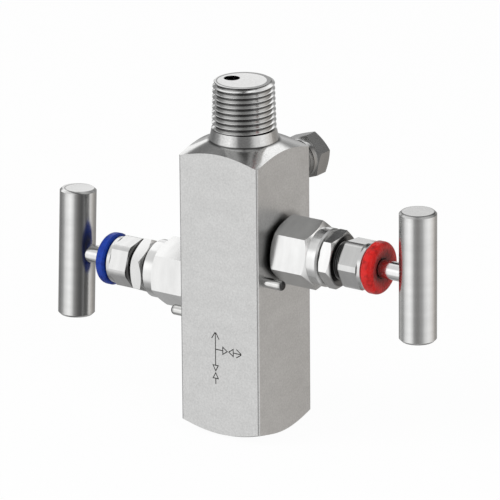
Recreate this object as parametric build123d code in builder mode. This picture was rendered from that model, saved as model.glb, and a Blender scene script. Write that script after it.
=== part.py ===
"""Two-valve block-and-bleed instrument manifold, turned and drilled from square bar.

Frame: +Z up along the bar, the origin in the middle of the bottom face, which is the mouth
of the process port. The isolate valve points along -X, the vent valve along +X, and the
plugged vent port faces +Y. All sizes are in millimetres.

Each valve is a bonnet needle valve. From its seat outwards it has a ball tip, a stem, a
sealed bonnet, packing rings, a packing follower, a packing adjuster with its jam nut, a
dust cap and a T-bar handle held by a set screw.
"""

import os
from dataclasses import dataclass
from math import radians, sqrt, tan

from build123d import *

# ---- Block: 1 1/4 inch square bar, both ends turned ------------------------------------
bar_width = 31.75
bar_edge_radius = 0.8
end_taper_angle = 22.5
foot_radius = 12.9
shoulder_height = 102.1
neck_radius = 11.75
neck_length = 3.9

# ---- Instrument connection: 1/2 inch male pipe thread, drawn at its root ----------------
thread_crest_radius = 10.95
thread_depth = 1.4
thread_length = 16.4
pipe_taper = 1 / 32

# ---- Process connection: 1/2 inch female pipe thread, drawn at its tapping size ---------
process_port_radius = 9.13
process_port_depth = 21.0
process_port_chamfer = 1.4
drill_point_angle = 31.0

# ---- Internal passages ---------------------------------------------------------------
inlet_offset = 3.0
inlet_radius = 2.4
instrument_passage_radius = 2.75
passage_past_seat = 0.5
passage_step = 1.2
vent_passage_radius = 1.6
vent_passage_start = 2.0
vent_passage_cover = 4.0

# ---- Vent port and plug: 1/4 inch pipe thread --------------------------------------------
vent_port_offset = 7.4
vent_port_height = 90.3
vent_port_radius = 5.55
vent_port_depth = 14.8
vent_port_chamfer = 1.2
plug_across_flats = 14.29
plug_hex_length = 6.8
plug_collar_radius = 6.9
plug_collar_length = 2.0
plug_standoff = 7.1
plug_thread_root_radius = 5.4
plug_engagement = 9.0
plug_turn = 17.3
plug_fit_clearance = 0.1

# ---- Where the valves sit ------------------------------------------------------------
isolate_height = 49.6
vent_height = 66.2
isolate_standoff = 1.9
vent_standoff = 1.1

# ---- Seat and ball tip ---------------------------------------------------------------
orifice_radius = 1.6
seat_chamfer = 0.2
ball_radius = 2.4
seat_clearance = 0.05
socket_clearance = 0.1
socket_grip = 1.0

# ---- Stem: 1/4 inch, 28 threads per inch, three turns from shut to open -----------------
stem_radius = 3.175
stem_thread_pitch = 0.907
turns_to_open = 3
stem_head_radius = 3.9
stem_head_length = 1.9
stem_relief_radius = 2.85
stem_relief_length = 1.6
stem_chamfer = 0.5
running_clearance = 0.065
chamber_clearance = 0.3
back_seat_clearance = 0.1

# ---- Bonnet --------------------------------------------------------------------------
chamber_depth = 4.4
seal_thickness = 0.6
seal_inset = 0.3
spigot_radius = 7.9
spigot_length = 8.5
undercut_radius = 7.3
undercut_length = 1.2
bonnet_across_flats = 20.64
bonnet_hex_length = 14.25
bonnet_turn = 11.0
collar_radius = 10.0
collar_length = 3.9
hex_chamfer_angle = 30.0
hex_face_inset = 0.3
thread_fit_clearance = 0.05
mouth_chamfer = 0.5

# ---- Packing -------------------------------------------------------------------------
packing_floor_inset = 1.0
packing_radius = 5.2
packing_ring_count = 3
packing_ring_thickness = 1.6
ring_gap = 0.03
follower_length = 2.3
follower_flange_length = 0.9
adjuster_thread_radius = 6.2

# ---- Jam nut -------------------------------------------------------------------------
isolate_nut_gap = 1.1
vent_nut_gap = 0.1
nut_across_flats = 17.46
nut_thickness = 4.7
isolate_nut_turn = -5.0
vent_nut_turn = 20.0

# ---- Packing adjuster ----------------------------------------------------------------
adjuster_standoff = 7.15
adjuster_collar_radius = 7.8
adjuster_collar_length = 0.8
adjuster_across_flats = 15.875
adjuster_corner_radius = 8.65
adjuster_flat_length = 6.9
adjuster_rim_radius = 8.15
adjuster_rim_length = 1.8
adjuster_boss_radius = 6.0
adjuster_boss_length = 2.2
isolate_adjuster_turn = 20.0
vent_adjuster_turn = 35.0

# ---- Dust cap ------------------------------------------------------------------------
cap_gap = 0.3
cap_radius = 9.0
cap_length = 3.8
cap_rim_radius = 1.8
cap_dish_radius = 6.6
cap_dish_depth = 0.8
cap_stem_clearance = 0.35

# ---- T-bar handle --------------------------------------------------------------------
cap_to_handle = 13.3
handle_radius = 6.35
handle_length = 45.0
handle_edge = 0.8
handle_socket_past_axis = 3.4
stem_end_past_axis = 3.0
isolate_handle_turn = 3.0
vent_handle_turn = 0.0
set_screw_radius = 2.0
set_screw_sink = 0.3
set_screw_hex = 2.0
set_screw_hex_depth = 1.4
set_screw_clearance = 0.05

# ---- Lock pins -----------------------------------------------------------------------
pin_radius = 1.75
pin_front_inset = 4.175
pin_drop = 8.8
isolate_pin_showing = 6.1
vent_pin_showing = 7.8
pin_end_radius = 1.2
pin_engagement = 5.2
pin_chamfer = 0.35
pin_clearance = 0.02

# ---- Worked out from the sizes above ---------------------------------------------------
half_width = bar_width / 2
thread_start = shoulder_height + neck_length
block_height = thread_start + thread_length
thread_root_large = thread_crest_radius - thread_depth
thread_root_small = thread_root_large - thread_length * pipe_taper
stem_travel = stem_thread_pitch * turns_to_open
chamber_radius = stem_head_radius + chamber_clearance
stem_bore_radius = stem_radius + running_clearance

# Places along a valve, measured outwards from the face that its seat is cut in.
shoulder_at = chamber_depth
nose_at = shoulder_at + seal_thickness
hex_at = nose_at + spigot_length
collar_at = hex_at + bonnet_hex_length
bonnet_end = collar_at + collar_length
adjuster_collar_at = bonnet_end + adjuster_standoff
flats_at = adjuster_collar_at + adjuster_collar_length
rim_at = flats_at + adjuster_flat_length
rim_end = rim_at + adjuster_rim_length
boss_end = rim_end + adjuster_boss_length
cap_at = rim_end + cap_gap
cap_end = cap_at + cap_length
handle_at = cap_end + cap_to_handle
ball_at = sqrt(2) * (ball_radius + seat_clearance) - orifice_radius - seat_chamfer
head_at = ball_at - socket_grip
head_end = ball_at + stem_head_length
back_seat_at = head_end + stem_travel + back_seat_clearance
packing_at = hex_at - packing_floor_inset
packing_pitch = packing_ring_thickness + ring_gap
follower_at = packing_at + packing_ring_count * packing_pitch
adjuster_at = follower_at + follower_length + ring_gap
bonnet_thread_at = follower_at + follower_length - follower_flange_length


@dataclass
class Valve:
    """One valve: the side it is on, its height and how its pieces happen to be turned."""

    name: str
    side: int
    height: float
    standoff: float
    nut_gap: float
    nut_turn: float
    adjuster_turn: float
    handle_turn: float
    pin_showing: float

    @property
    def seat_x(self):
        """Distance from the bar's axis to the face that the seat is cut in."""
        return half_width + self.standoff - hex_at

    @property
    def axis(self):
        """The valve's axis, pointing out of the block."""
        return Axis((0, 0, self.height), (self.side, 0, 0))

    @property
    def profile_plane(self):
        """A plane through the axis: x is the distance from the seat, y the radius."""
        origin = (self.side * self.seat_x, 0, self.height)
        return Plane(origin, x_dir=(self.side, 0, 0), z_dir=(0, -self.side, 0))

    def cross_plane(self, distance):
        """A plane across the axis, facing outwards, with its x to the front of the block."""
        origin = (self.side * (self.seat_x + distance), 0, self.height)
        return Plane(origin, x_dir=(0, -1, 0), z_dir=(self.side, 0, 0))


isolate = Valve(
    "isolate", -1, isolate_height, isolate_standoff, isolate_nut_gap,
    isolate_nut_turn, isolate_adjuster_turn, isolate_handle_turn, isolate_pin_showing,
)
vent = Valve(
    "vent", 1, vent_height, vent_standoff, vent_nut_gap,
    vent_nut_turn, vent_adjuster_turn, vent_handle_turn, vent_pin_showing,
)
valves = [isolate, vent]
instrument_passage_offset = isolate.seat_x + passage_past_seat


def outline(plane, *points):
    """A closed flat outline through the given points."""
    with BuildSketch(plane) as shape:
        with BuildLine():
            Polyline(*points, close=True)
        make_face()
    return shape.sketch


def hexagon(plane, across_flats, turn):
    """A hexagon with one flat facing along the plane's x, turned by an angle."""
    with BuildSketch(plane) as shape:
        RegularPolygon(across_flats / 2, 6, major_radius=False, rotation=turn + 30)
    return shape.sketch


def disc(plane, radius):
    """A round outline in the middle of a plane."""
    with BuildSketch(plane) as shape:
        Circle(radius)
    return shape.sketch


def hexagon_envelope(plane, start, end, across_flats):
    """The turned outline that chamfers both ends of a hexagon's corners."""
    face_radius = across_flats / 2 - hex_face_inset
    corner_radius = across_flats / sqrt(3)
    rise = (corner_radius - face_radius) * tan(radians(hex_chamfer_angle))
    return outline(
        plane,
        (start, 0),
        (start, face_radius),
        (start + rise, corner_radius),
        (end - rise, corner_radius),
        (end, face_radius),
        (end, 0),
    )


def finish(piece, name):
    """Label a finished piece and write it as its own file."""
    piece.part.label = name
    export_step(piece.part, f"parts/{name}.step")


def make_manifold_block():
    """The square bar with turned ends, its ports, valve cavities and passages."""
    rise = tan(radians(end_taper_angle))
    reach = bar_width
    with BuildPart() as block:
        with BuildSketch(Plane.XY):
            Rectangle(bar_width, bar_width)
        extrude(amount=block_height)
        fillet(block.edges().filter_by(Axis.Z), bar_edge_radius)

        # Both ends are turned in a lathe: what is left is inside this profile.
        turned_profile = outline(
            Plane.XZ,
            (0, 0),
            (foot_radius, 0),
            (reach, (reach - foot_radius) * rise),
            (reach, shoulder_height - (reach - neck_radius) * rise),
            (neck_radius, shoulder_height),
            (thread_crest_radius, thread_start),
            (thread_root_large, thread_start),
            (thread_root_small, block_height),
            (0, block_height),
        )
        revolve(turned_profile, axis=Axis.Z, mode=Mode.INTERSECT)

        # Process port: chamfered mouth, tapping-size bore and the drill's point.
        mouth_radius = process_port_radius + process_port_chamfer
        point_depth = process_port_radius * tan(radians(drill_point_angle))
        process_port = outline(
            Plane.XZ,
            (0, 0),
            (mouth_radius, 0),
            (process_port_radius, process_port_chamfer),
            (process_port_radius, process_port_depth),
            (0, process_port_depth + point_depth),
        )
        revolve(process_port, axis=Axis.Z, mode=Mode.SUBTRACT)

        # Inlet passage, from the process port up to the isolate valve's orifice.
        inlet_plane = Plane((inlet_offset, 0, process_port_depth))
        inlet_length = isolate_height + orifice_radius - process_port_depth
        extrude(disc(inlet_plane, inlet_radius), amount=inlet_length, mode=Mode.SUBTRACT)

        # Instrument passage, from the isolate valve's chamber up through the thread.
        passage_start = isolate_height + chamber_radius - passage_step
        passage_plane = Plane((-instrument_passage_offset, 0, passage_start))
        extrude(
            disc(passage_plane, instrument_passage_radius),
            amount=block_height - passage_start,
            mode=Mode.SUBTRACT,
        )

        # Valve cavities: bonnet bore, chamber, seat cone and orifice, and the pin's hole.
        bonnet_bore_radius = spigot_radius + thread_fit_clearance
        for valve in valves:
            face = half_width - valve.seat_x
            orifice_end = -valve.seat_x - inlet_offset
            if valve is vent:
                orifice_end = -valve.seat_x - instrument_passage_offset
            cavity = outline(
                valve.profile_plane,
                (orifice_end, 0),
                (orifice_end, orifice_radius),
                (-seat_chamfer, orifice_radius),
                (0, orifice_radius + seat_chamfer),
                (0, chamber_radius),
                (shoulder_at, chamber_radius),
                (shoulder_at, bonnet_bore_radius),
                (face - mouth_chamfer, bonnet_bore_radius),
                (face, bonnet_bore_radius + mouth_chamfer),
                (face, 0),
            )
            revolve(cavity, axis=valve.axis, mode=Mode.SUBTRACT)
            pin_hole = disc(pin_plane(valve), pin_radius + pin_clearance)
            extrude(pin_hole, amount=pin_engagement, mode=Mode.SUBTRACT)

        # Vent port, drilled from the rear face, and the slanted hole that feeds it.
        port_plane = Plane(
            (vent_port_offset, half_width, vent_port_height), x_dir=(1, 0, 0), z_dir=(0, -1, 0)
        )
        extrude(disc(port_plane, vent_port_radius), amount=vent_port_depth, mode=Mode.SUBTRACT)
        with Locations(port_plane):
            Cone(
                vent_port_radius + vent_port_chamfer, vent_port_radius, vent_port_chamfer,
                align=(Align.CENTER, Align.CENTER, Align.MIN), mode=Mode.SUBTRACT,
            )
        feed_start = Vector(vent.seat_x + vent_passage_start, 0, vent_height)
        feed_end = Vector(vent_port_offset, half_width - vent_passage_cover, vent_port_height)
        feed = feed_end - feed_start
        feed_plane = Plane(feed_start, z_dir=feed)
        extrude(disc(feed_plane, vent_passage_radius), amount=feed.length, mode=Mode.SUBTRACT)
    return block


def pin_plane(valve):
    """The plane on the valve's face where its lock pin goes in, facing into the block."""
    origin = (valve.side * half_width, pin_front_inset - half_width, valve.height - pin_drop)
    return Plane(origin, x_dir=(0, 1, 0), z_dir=(-valve.side, 0, 0))


def make_vent_plug():
    """Hexagon-head pipe plug in the rear port, with a plain collar and its thread's root."""
    head_y = half_width + plug_standoff
    facing_out = Plane(
        (vent_port_offset, head_y, vent_port_height), x_dir=(1, 0, 0), z_dir=(0, 1, 0)
    )
    beside = Plane(
        (vent_port_offset, head_y, vent_port_height), x_dir=(0, 1, 0), z_dir=(1, 0, 0)
    )
    axis = Axis((vent_port_offset, 0, vent_port_height), (0, 1, 0))
    shank_end = -plug_standoff - plug_engagement
    with BuildPart() as vent_plug:
        extrude(hexagon(facing_out, plug_across_flats, -plug_turn - 30), amount=plug_hex_length)
        chamfered = hexagon_envelope(beside, 0, plug_hex_length, plug_across_flats)
        revolve(chamfered, axis=axis, mode=Mode.INTERSECT)
        shank = outline(
            beside,
            (0, 0),
            (0, plug_collar_radius),
            (-plug_collar_length, plug_collar_radius),
            (-plug_collar_length, plug_thread_root_radius),
            (shank_end + pin_chamfer, plug_thread_root_radius),
            (shank_end, plug_thread_root_radius - pin_chamfer),
            (shank_end, 0),
        )
        revolve(shank, axis=axis)
    return vent_plug


def make_bonnet(valve):
    """Hexagon bonnet: spigot in the block, packing chamber inside, round collar outside."""
    plane = valve.profile_plane
    guide_radius = stem_bore_radius
    thread_bore = adjuster_thread_radius + thread_fit_clearance
    undercut_at = hex_at - undercut_length
    with BuildPart() as bonnet:
        hex_turn = -valve.side * bonnet_turn
        bar = hexagon(valve.cross_plane(hex_at), bonnet_across_flats, hex_turn)
        extrude(bar, amount=bonnet_hex_length)
        chamfered = hexagon_envelope(plane, hex_at, collar_at, bonnet_across_flats)
        revolve(chamfered, axis=valve.axis, mode=Mode.INTERSECT)
        turned_ends = outline(
            plane,
            (nose_at, 0),
            (nose_at, spigot_radius - mouth_chamfer),
            (nose_at + mouth_chamfer, spigot_radius),
            (undercut_at, spigot_radius),
            (undercut_at, undercut_radius),
            (hex_at, undercut_radius),
            (collar_at, undercut_radius),
            (collar_at, collar_radius),
            (bonnet_end - mouth_chamfer, collar_radius),
            (bonnet_end, collar_radius - mouth_chamfer),
            (bonnet_end, 0),
        )
        revolve(turned_ends, axis=valve.axis)
        bores = outline(
            plane,
            (nose_at, 0),
            (nose_at, chamber_radius),
            (back_seat_at, chamber_radius),
            (back_seat_at, guide_radius),
            (packing_at, guide_radius),
            (packing_at, packing_radius),
            (bonnet_thread_at, packing_radius),
            (bonnet_thread_at, thread_bore),
            (bonnet_end - mouth_chamfer, thread_bore),
            (bonnet_end, thread_bore + mouth_chamfer),
            (bonnet_end, 0),
        )
        revolve(bores, axis=valve.axis, mode=Mode.SUBTRACT)
    return bonnet


def make_ring(valve, start, end, inner_radius, outer_radius):
    """A plain turned ring about the valve's axis."""
    with BuildPart() as ring:
        section = outline(
            valve.profile_plane,
            (start, inner_radius),
            (start, outer_radius),
            (end, outer_radius),
            (end, inner_radius),
        )
        revolve(section, axis=valve.axis)
    return ring


def make_bonnet_seal(valve):
    """Flat gasket between the bonnet's nose and the shoulder in the block."""
    inner = chamber_radius + seal_inset
    outer = spigot_radius - seal_inset
    return make_ring(valve, shoulder_at, nose_at, inner, outer)


def make_packing_rings(valve):
    """A stack of packing rings around the stem, each one a loose ring."""
    with BuildPart() as rings:
        for index in range(packing_ring_count):
            start = packing_at + index * packing_pitch
            section = outline(
                valve.profile_plane,
                (start, stem_bore_radius),
                (start, packing_radius - ring_gap),
                (start + packing_ring_thickness, packing_radius - ring_gap),
                (start + packing_ring_thickness, stem_bore_radius),
            )
            revolve(section, axis=valve.axis)
    return rings


def make_packing_follower(valve):
    """Metal gland ring with a flange, pressed on the packing by the adjuster."""
    end = follower_at + follower_length
    flange_at = end - follower_flange_length + ring_gap
    with BuildPart() as follower:
        section = outline(
            valve.profile_plane,
            (follower_at, stem_bore_radius),
            (follower_at, packing_radius - ring_gap),
            (flange_at, packing_radius - ring_gap),
            (flange_at, adjuster_thread_radius),
            (end, adjuster_thread_radius),
            (end, stem_bore_radius),
        )
        revolve(section, axis=valve.axis)
    return follower


def make_jam_nut(valve):
    """Thin hexagon nut that locks the packing adjuster against the bonnet."""
    with BuildPart() as nut:
        hex_turn = -valve.side * valve.nut_turn
        nut_at = bonnet_end + valve.nut_gap
        nut_end = nut_at + nut_thickness
        bar = hexagon(valve.cross_plane(nut_at), nut_across_flats, hex_turn)
        extrude(bar, amount=nut_thickness)
        chamfered = hexagon_envelope(valve.profile_plane, nut_at, nut_end, nut_across_flats)
        revolve(chamfered, axis=valve.axis, mode=Mode.INTERSECT)
        bore = disc(valve.cross_plane(nut_at), adjuster_thread_radius + thread_fit_clearance)
        extrude(bore, amount=nut_thickness, mode=Mode.SUBTRACT)
    return nut


def make_packing_adjuster(valve):
    """Long screw with a six-flat head whose corners are turned round, bored for the stem."""
    plane = valve.profile_plane
    with BuildPart() as adjuster:
        hex_turn = -valve.side * valve.adjuster_turn
        bar = hexagon(valve.cross_plane(flats_at), adjuster_across_flats, hex_turn)
        extrude(bar, amount=adjuster_flat_length)
        corners = disc(valve.cross_plane(flats_at), adjuster_corner_radius)
        extrude(corners, amount=adjuster_flat_length, mode=Mode.INTERSECT)
        turned = outline(
            plane,
            (adjuster_at, 0),
            (adjuster_at, adjuster_thread_radius - mouth_chamfer),
            (adjuster_at + mouth_chamfer, adjuster_thread_radius),
            (adjuster_collar_at, adjuster_thread_radius),
            (adjuster_collar_at, adjuster_collar_radius - mouth_chamfer),
            (adjuster_collar_at + mouth_chamfer, adjuster_collar_radius),
            (flats_at, adjuster_collar_radius),
            (flats_at, adjuster_thread_radius),
            (rim_at, adjuster_thread_radius),
            (rim_at, adjuster_rim_radius),
            (rim_end - mouth_chamfer, adjuster_rim_radius),
            (rim_end, adjuster_rim_radius - mouth_chamfer),
            (rim_end, adjuster_boss_radius),
            (boss_end, adjuster_boss_radius),
            (boss_end, 0),
        )
        revolve(turned, axis=valve.axis)
        bore = disc(valve.cross_plane(adjuster_at), stem_bore_radius)
        extrude(bore, amount=boss_end - adjuster_at, mode=Mode.SUBTRACT)
    return adjuster


def make_dust_cap(valve):
    """Moulded cap over the adjuster's end, with a well-rounded rim and a dished face."""
    recess_radius = adjuster_boss_radius + thread_fit_clearance
    recess_end = boss_end + ring_gap
    hole_radius = stem_radius + cap_stem_clearance
    shoulder = cap_radius - cap_rim_radius
    with BuildPart() as cap:
        with BuildSketch(valve.profile_plane):
            with BuildLine():
                Polyline(
                    (cap_end - cap_dish_depth, hole_radius),
                    (recess_end, hole_radius),
                    (recess_end, recess_radius),
                    (cap_at, recess_radius),
                    (cap_at, cap_radius - mouth_chamfer),
                    (cap_at + mouth_chamfer, cap_radius),
                    (cap_end - cap_rim_radius, cap_radius),
                )
                RadiusArc(
                    (cap_end - cap_rim_radius, cap_radius), (cap_end, shoulder), cap_rim_radius
                )
                Polyline(
                    (cap_end, shoulder),
                    (cap_end, cap_dish_radius),
                    (cap_end - cap_dish_depth, hole_radius),
                )
            make_face()
        revolve(axis=valve.axis)
    return cap


def make_ball_tip(valve):
    """The ball that shuts the orifice. It is crimped in the stem and doesn't turn with it."""
    centre = valve.profile_plane.from_local_coords((ball_at, 0, 0))
    with BuildPart() as ball:
        with Locations(centre):
            Sphere(ball_radius)
    return ball


def make_stem(valve):
    """Stem with a head that holds the ball and seats behind it, a thread relief and an end."""
    end = handle_at + stem_end_past_axis
    relief_at = adjuster_at - stem_relief_length
    ball_centre = valve.profile_plane.from_local_coords((ball_at, 0, 0))
    with BuildPart() as stem:
        turned = outline(
            valve.profile_plane,
            (head_at, 0),
            (head_at, stem_head_radius - stem_chamfer),
            (head_at + stem_chamfer, stem_head_radius),
            (head_end, stem_head_radius),
            (head_end, stem_radius),
            (relief_at, stem_radius),
            (relief_at, stem_relief_radius),
            (adjuster_at, stem_relief_radius),
            (adjuster_at, stem_radius),
            (end - stem_chamfer, stem_radius),
            (end, stem_radius - stem_chamfer),
            (end, 0),
        )
        revolve(turned, axis=valve.axis)
        with Locations(ball_centre):
            Sphere(ball_radius + socket_clearance, mode=Mode.SUBTRACT)
    return stem


def handle_plane(valve):
    """Plane at the handle's middle: z along the bar, x outwards along the valve."""
    upright = Vector(0, 0, 1).rotate(Axis.X, -valve.handle_turn)
    origin = (valve.side * (valve.seat_x + handle_at), 0, valve.height)
    return Plane(origin, x_dir=(valve.side, 0, 0), z_dir=upright)


def screw_plane(valve):
    """Plane at the handle's middle that looks out to the rear, along the set screw."""
    middle = handle_plane(valve)
    rearwards = middle.y_dir * valve.side
    return Plane(middle.origin, x_dir=middle.z_dir, z_dir=rearwards)


def make_handle(valve):
    """Round T-bar with chamfered ends, a blind hole for the stem and a set screw hole."""
    middle = handle_plane(valve)
    hole_depth = handle_radius + handle_socket_past_axis
    hole_plane = valve.cross_plane(handle_at - handle_radius)
    with BuildPart() as handle:
        extrude(disc(middle, handle_radius), amount=handle_length / 2, both=True)
        chamfer(handle.edges().filter_by(GeomType.CIRCLE), handle_edge)
        hole = disc(hole_plane, stem_radius + set_screw_clearance)
        extrude(hole, amount=hole_depth, mode=Mode.SUBTRACT)
        screw_hole = disc(screw_plane(valve), set_screw_radius + set_screw_clearance)
        extrude(screw_hole, amount=handle_radius, mode=Mode.SUBTRACT)
    return handle


def make_handle_screw(valve):
    """Socket set screw that clamps the handle on the stem."""
    start = screw_plane(valve).offset(stem_radius + set_screw_clearance)
    length = handle_radius - set_screw_sink - stem_radius - set_screw_clearance
    socket_plane = start.offset(length - set_screw_hex_depth)
    with BuildPart() as screw:
        extrude(disc(start, set_screw_radius), amount=length)
        socket = hexagon(socket_plane, set_screw_hex, 0)
        extrude(socket, amount=set_screw_hex_depth, mode=Mode.SUBTRACT)
    return screw


def make_lock_pin(valve):
    """Pin beside the bonnet that keeps it from being unscrewed by mistake."""
    inner = pin_plane(valve).offset(pin_engagement)
    with BuildPart() as pin:
        extrude(disc(inner, pin_radius), amount=-(pin_engagement + valve.pin_showing))
        ends = pin.edges().filter_by(GeomType.CIRCLE).sort_by(valve.axis)
        chamfer(ends[0], pin_chamfer)
        fillet(ends[-1], pin_end_radius)
    return pin


os.makedirs("parts", exist_ok=True)

finish(make_manifold_block(), "manifold_block")
finish(make_vent_plug(), "vent_plug")

valve_pieces = {
    "bonnet": make_bonnet,
    "bonnet_seal": make_bonnet_seal,
    "packing_rings": make_packing_rings,
    "packing_follower": make_packing_follower,
    "packing_adjuster": make_packing_adjuster,
    "jam_nut": make_jam_nut,
    "dust_cap": make_dust_cap,
    "ball_tip": make_ball_tip,
    "stem": make_stem,
    "handle": make_handle,
    "handle_screw": make_handle_screw,
    "lock_pin": make_lock_pin,
}
for valve in valves:
    for piece_name, make_piece in valve_pieces.items():
        finish(make_piece(valve), f"{valve.name}_{piece_name}")
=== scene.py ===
# %% [markdown]
# # Instrument valve manifold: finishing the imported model
# The solids come from the CAD model, already in place and in metres. This lesson adds what a
# CAD model leaves out: the screw threads, the etched flow symbol, the finish of every piece,
# and a small studio to see them in. The bar stands on its bottom end, which is z = 0.

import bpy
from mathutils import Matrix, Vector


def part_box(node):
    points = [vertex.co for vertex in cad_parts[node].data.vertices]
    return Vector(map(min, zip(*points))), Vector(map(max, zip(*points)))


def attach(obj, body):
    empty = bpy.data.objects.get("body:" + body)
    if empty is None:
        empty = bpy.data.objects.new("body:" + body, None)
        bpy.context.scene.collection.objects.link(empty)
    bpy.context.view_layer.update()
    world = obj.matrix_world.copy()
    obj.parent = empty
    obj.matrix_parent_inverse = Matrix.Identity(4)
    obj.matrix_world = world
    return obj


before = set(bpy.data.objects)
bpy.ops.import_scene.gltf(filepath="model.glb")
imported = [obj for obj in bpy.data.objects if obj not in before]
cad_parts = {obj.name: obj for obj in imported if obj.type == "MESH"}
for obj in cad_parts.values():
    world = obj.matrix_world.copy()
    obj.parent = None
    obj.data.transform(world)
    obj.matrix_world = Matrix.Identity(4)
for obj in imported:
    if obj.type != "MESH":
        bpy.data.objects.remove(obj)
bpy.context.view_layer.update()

# %% [markdown]
# ## Tools of the bench
# Three small helpers keep the modelling steps short. The first adds a primitive with nothing
# else selected, because the loaded nodes start out selected and an operator acts on all that
# is. The second picks faces, edges or points in edit mode by a test on their place. The third
# applies a modifier, so that the finished mesh holds its own shape.

# %% Helpers for modelling
import bpy
import bmesh
from math import radians, pi, sin, cos
from mathutils import Vector

mm = 0.001


def start_piece(name, add, **settings):
    """Add a primitive by itself, name it and put its place into its mesh."""
    if bpy.context.object and bpy.context.object.mode != "OBJECT":
        bpy.ops.object.mode_set(mode="OBJECT")
    bpy.ops.object.select_all(action="DESELECT")
    add(**settings)
    piece = bpy.context.active_object
    piece.name = name
    piece.data.name = name
    bpy.ops.object.transform_apply(location=True, rotation=True, scale=True)
    return piece


def pick(piece, kind, test):
    """In edit mode, select only the verts, edges or faces that pass the test."""
    bpy.ops.mesh.select_mode(type=kind[:4].upper())
    mesh = bmesh.from_edit_mesh(piece.data)
    for every in (mesh.verts, mesh.edges, mesh.faces):
        for part in every:
            part.select_set(False)
    found = 0
    for part in getattr(mesh, kind):
        if test(part):
            part.select_set(True)
            found += 1
    mesh.select_flush_mode()
    bmesh.update_edit_mesh(piece.data)
    return found


def apply_modifier(piece, kind, **settings):
    """Give the piece one modifier, set it and apply it."""
    bpy.ops.object.select_all(action="DESELECT")
    piece.select_set(True)
    bpy.context.view_layer.objects.active = piece
    step = piece.modifiers.new(kind.title(), kind)
    for key, value in settings.items():
        setattr(step, key, value)
    bpy.ops.object.modifier_apply(modifier=step.name)


print("helpers ready")

# %% [markdown]
# ## Screw threads
# A thread is one small tooth wound round and round. The tooth's outline is drawn first: one
# point is pushed out and up, one pitch in all, as root, flank, crest, flank. That takes vertex
# select mode, because a single point can't stay selected in face mode. The Screw modifier winds
# it, but welds no turns when it also climbs, so a merge by distance joins each turn to the next.
# Two straight cuts trim the ends, and the open rims are drawn in below the root and bridged, so
# that the thread is a closed sleeve over the plain core of the CAD model. Winding gives true
# helical crests, which rings stacked up would not.

# %% Wind a thread about the Z axis
turn_steps = 80


def wind_thread(name, pitch, length, root, crest, crest_flat=0.08):
    """A closed threaded sleeve from z = 0 up to its length, with its root sunk inside."""
    piece = start_piece(name, bpy.ops.mesh.primitive_plane_add, size=pitch,
                        location=(root, 0, -2 * pitch))
    bpy.ops.object.mode_set(mode="EDIT")
    bpy.ops.mesh.select_mode(type="VERT")
    bpy.ops.mesh.select_all(action="SELECT")
    bpy.ops.mesh.merge(type="CENTER")
    flank = (1 - 2 * crest_flat) / 2 * pitch
    for step in ((crest - root, 0, flank), (0, 0, crest_flat * pitch),
                 (root - crest, 0, flank), (0, 0, crest_flat * pitch)):
        bpy.ops.mesh.extrude_region_move(TRANSFORM_OT_translate={"value": step})
    bpy.ops.object.mode_set(mode="OBJECT")
    apply_modifier(piece, "SCREW", angle=2 * pi, screw_offset=pitch, axis="Z",
                   iterations=int(length / pitch) + 4, steps=turn_steps,
                   render_steps=turn_steps, use_smooth_shade=False)
    bpy.ops.object.mode_set(mode="EDIT")
    bpy.ops.mesh.select_all(action="SELECT")
    bpy.ops.mesh.remove_doubles(threshold=1e-6)
    for height, upward in ((0, -1), (length, 1)):
        bpy.ops.mesh.select_all(action="SELECT")
        bpy.ops.mesh.bisect(plane_co=(0, 0, height), plane_no=(0, 0, upward),
                            clear_outer=True, threshold=1e-7)
    rims = pick(piece, "edges", lambda edge: edge.is_boundary)
    bpy.ops.mesh.extrude_region_move(TRANSFORM_OT_translate={"value": (0, 0, 0)})
    drawn_in = 0.97 * root / crest
    bpy.ops.transform.resize(value=(drawn_in, drawn_in, 1), center_override=(0, 0, 0))
    pick(piece, "edges", lambda edge: edge.is_boundary)
    bpy.ops.mesh.bridge_edge_loops()
    bpy.ops.mesh.select_all(action="SELECT")
    bpy.ops.mesh.normals_make_consistent(inside=False)
    bpy.ops.object.mode_set(mode="OBJECT")
    faces, open_edges = len(piece.data.polygons), len(loose_edges(piece))
    print(name, "rim edges", rims, "faces", faces, "open", open_edges)
    assert faces > 0 and open_edges == 0, name + " is not a closed sleeve"
    return piece


def loose_edges(piece):
    """The edges of a mesh that do not have a face on both sides."""
    mesh = bmesh.new()
    mesh.from_mesh(piece.data)
    found = [edge.index for edge in mesh.edges if len(edge.link_faces) != 2]
    mesh.free()
    return found


# %% [markdown]
# ## Instrument connection: 1/2 inch taper pipe thread
# The upper end screws into an instrument. Its thread has 14 turns to the inch on a 1 in 16
# taper, which a Simple Deform modifier gives the straight winding in one go. A turned envelope
# with a chamfered rim then trims the first turn, as the lathe does on the real end.

# %% Instrument thread
thread_start = 106.0 * mm
thread_length = 16.41 * mm
thread_pitch = 25.4 / 14 * mm
thread_crest = 10.95 * mm
thread_root = 9.6 * mm
thread_narrowing = -thread_length / 32 / thread_crest

instrument_thread = wind_thread("instrument_thread_turns", thread_pitch, thread_length,
                                thread_root, thread_crest)
apply_modifier(instrument_thread, "SIMPLE_DEFORM", deform_method="TAPER", deform_axis="Z",
               factor=thread_narrowing)

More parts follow.
